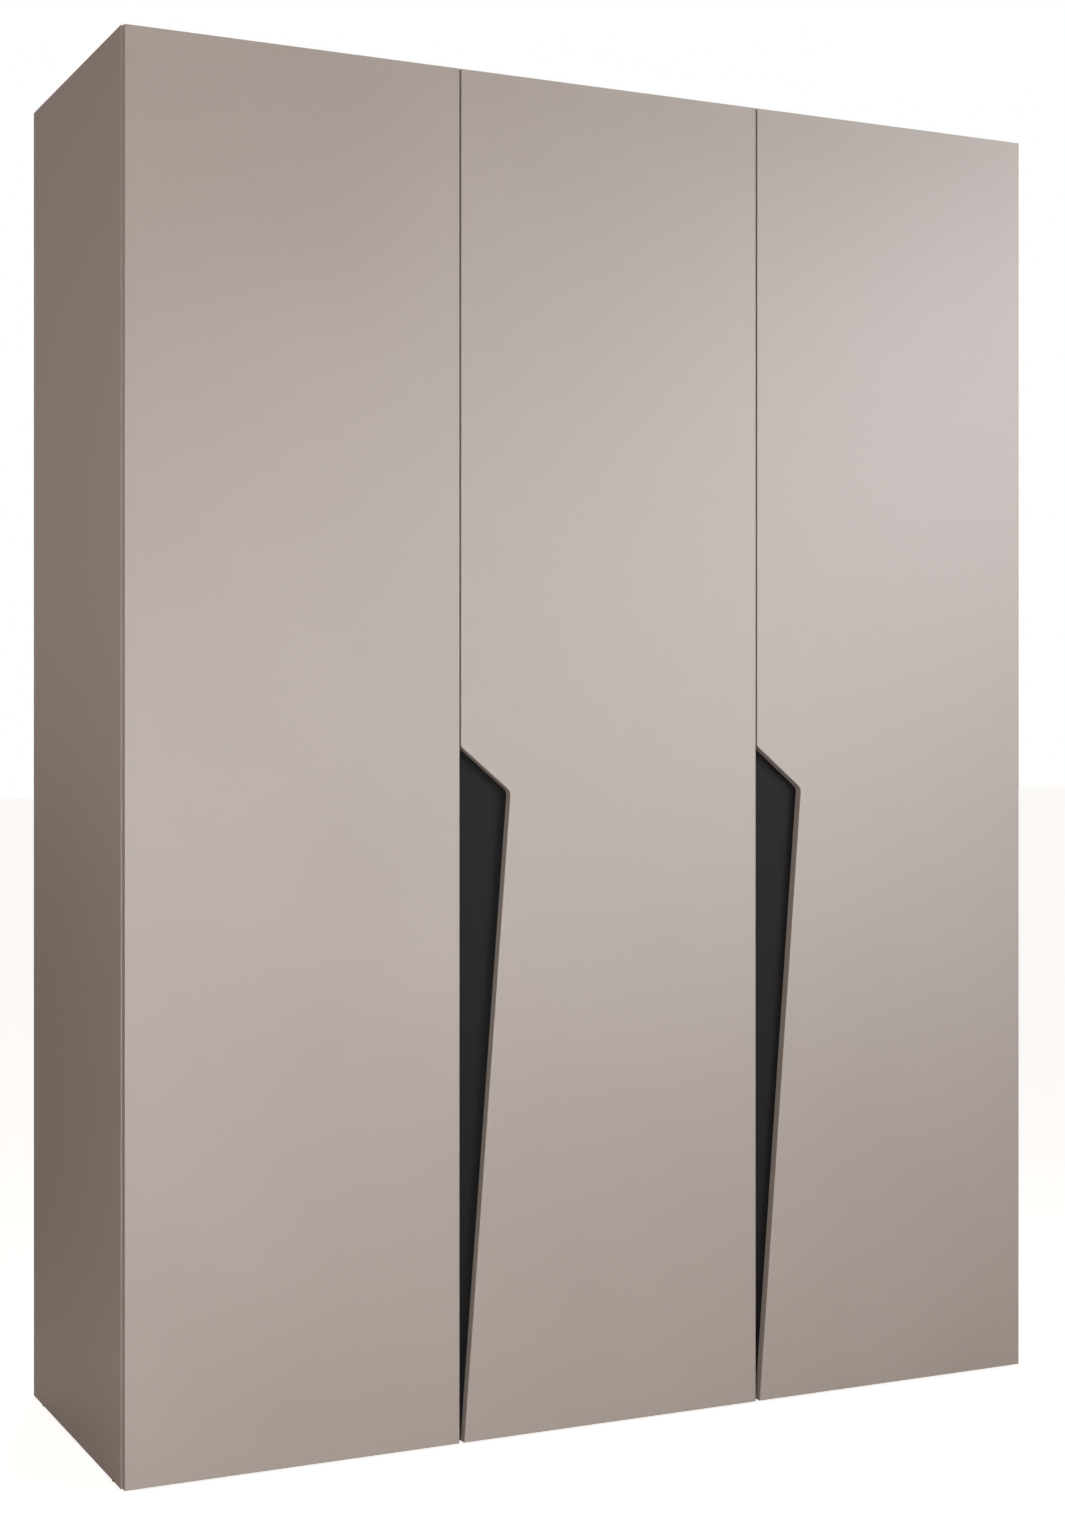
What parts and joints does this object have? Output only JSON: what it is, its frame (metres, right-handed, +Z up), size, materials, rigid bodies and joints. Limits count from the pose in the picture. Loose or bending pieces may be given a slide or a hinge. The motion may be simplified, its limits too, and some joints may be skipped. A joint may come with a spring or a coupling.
{
  "type": "wardrobe with doors",
  "caption": "Tall freestanding wardrobe with flat full-height hinged doors, cut-out grips, a hanging rail and shelves inside.",
  "frame": {"origin": "on the floor, at the centre of the footprint", "axes": "+X to the right seen from the front, +Y to the back, +Z up; the doors face -Y"},
  "size_m": [1.8, 0.61, 2.4],
  "materials": {
    "door_lacquer": "satin",
    "carcass_lacquer": "satin",
    "interior_melamine": "matte",
    "plinth_melamine": "matte",
    "back_hardboard": "matte",
    "joint_strip_plastic": "matte",
    "rail_chrome": "polished",
    "socket_zinc": "satin",
    "screw_steel": "satin",
    "cam_zinc": "satin",
    "dowel_beech": "matte",
    "peg_steel": "satin",
    "glide_plastic": "matte",
    "bumper_rubber": "satin",
    "hinge_steel": "satin",
    "grip_laminate": "matte"
  },
  "bodies": {
    "carcass": {"side_left": "carcass_lacquer", "side_right": "carcass_lacquer", "partition": "interior_melamine", "top_panel": "interior_melamine", "bottom_panel": "interior_melamine", "plinth_front": "plinth_melamine", "plinth_rear": "plinth_melamine", "plinth_cross": "plinth_melamine", "rear_rail_wide": "interior_melamine", "rear_rail_narrow": "interior_melamine", "back_sheet_left": "back_hardboard", "back_sheet_centre": "back_hardboard", "back_sheet_right": "back_hardboard", "back_joint_strip": "joint_strip_plastic", "hat_shelf": "interior_melamine", "shelf_1": "interior_melamine", "shelf_2": "interior_melamine", "shelf_3": "interior_melamine", "shelf_4": "interior_melamine", "shelf_5": "interior_melamine", "hanging_rail": "rail_chrome", "rail_sockets": "socket_zinc", "rail_hanger": "socket_zinc", "rail_screws": "screw_steel", "cam_locks": "cam_zinc", "cam_bolts": "screw_steel", "dowels": "dowel_beech", "shelf_pegs": "peg_steel", "floor_glides": "glide_plastic", "door_bumpers": "bumper_rubber", "hinge_arm_pins": "hinge_steel", "mounting_plate_screws": "screw_steel", "hinge_plates_left": "hinge_steel", "hinge_arms_left": "hinge_steel", "hinge_plates_middle": "hinge_steel", "hinge_arms_middle": "hinge_steel", "hinge_plates_right": "hinge_steel", "hinge_arms_right": "hinge_steel"},
    "left_hinge_links": {"hinge_links_left": "hinge_steel"},
    "left_door": {"door_left": "door_lacquer", "hinge_cups_left": "hinge_steel", "cup_pins_left": "hinge_steel", "cup_screws_left": "screw_steel"},
    "middle_hinge_links": {"hinge_links_middle": "hinge_steel"},
    "middle_door": {"door_middle": "door_lacquer", "hinge_cups_middle": "hinge_steel", "cup_pins_middle": "hinge_steel", "cup_screws_middle": "screw_steel", "grip_plate_middle": "grip_laminate", "grip_screws_middle": "screw_steel"},
    "right_hinge_links": {"hinge_links_right": "hinge_steel"},
    "right_door": {"door_right": "door_lacquer", "hinge_cups_right": "hinge_steel", "cup_pins_right": "hinge_steel", "cup_screws_right": "screw_steel", "grip_plate_right": "grip_laminate", "grip_screws_right": "screw_steel"}
  },
  "joints": [
    {"name": "left_link_turn", "type": "hinge", "parent": "carcass", "child": "left_hinge_links", "pos_m": [-0.8684, -0.2755, 1.2], "axis": [0, 0, -1], "range_deg": [-45, 0]},
    {"name": "left_door_swing", "type": "hinge", "parent": "left_hinge_links", "child": "left_door", "pos_m": [-0.8879, -0.2896, 1.2], "axis": [0, 0, -1], "range_deg": [0, 150]},
    {"name": "middle_link_turn", "type": "hinge", "parent": "carcass", "child": "middle_hinge_links", "pos_m": [0.2679, -0.2755, 1.2], "axis": [0, 0, 1], "range_deg": [-45, 0]},
    {"name": "middle_door_swing", "type": "hinge", "parent": "middle_hinge_links", "child": "middle_door", "pos_m": [0.2874, -0.2896, 1.2], "axis": [0, 0, 1], "range_deg": [0, 150]},
    {"name": "right_link_turn", "type": "hinge", "parent": "carcass", "child": "right_hinge_links", "pos_m": [0.8684, -0.2755, 1.2], "axis": [0, 0, 1], "range_deg": [-45, 0]},
    {"name": "right_door_swing", "type": "hinge", "parent": "right_hinge_links", "child": "right_door", "pos_m": [0.8879, -0.2896, 1.2], "axis": [0, 0, 1], "range_deg": [0, 150]}
  ],
  "couplings": [
    {"joint": "left_link_turn", "follows": "left_door_swing", "ratio": -0.3},
    {"joint": "middle_link_turn", "follows": "middle_door_swing", "ratio": -0.3},
    {"joint": "right_link_turn", "follows": "right_door_swing", "ratio": -0.3}
  ]
}
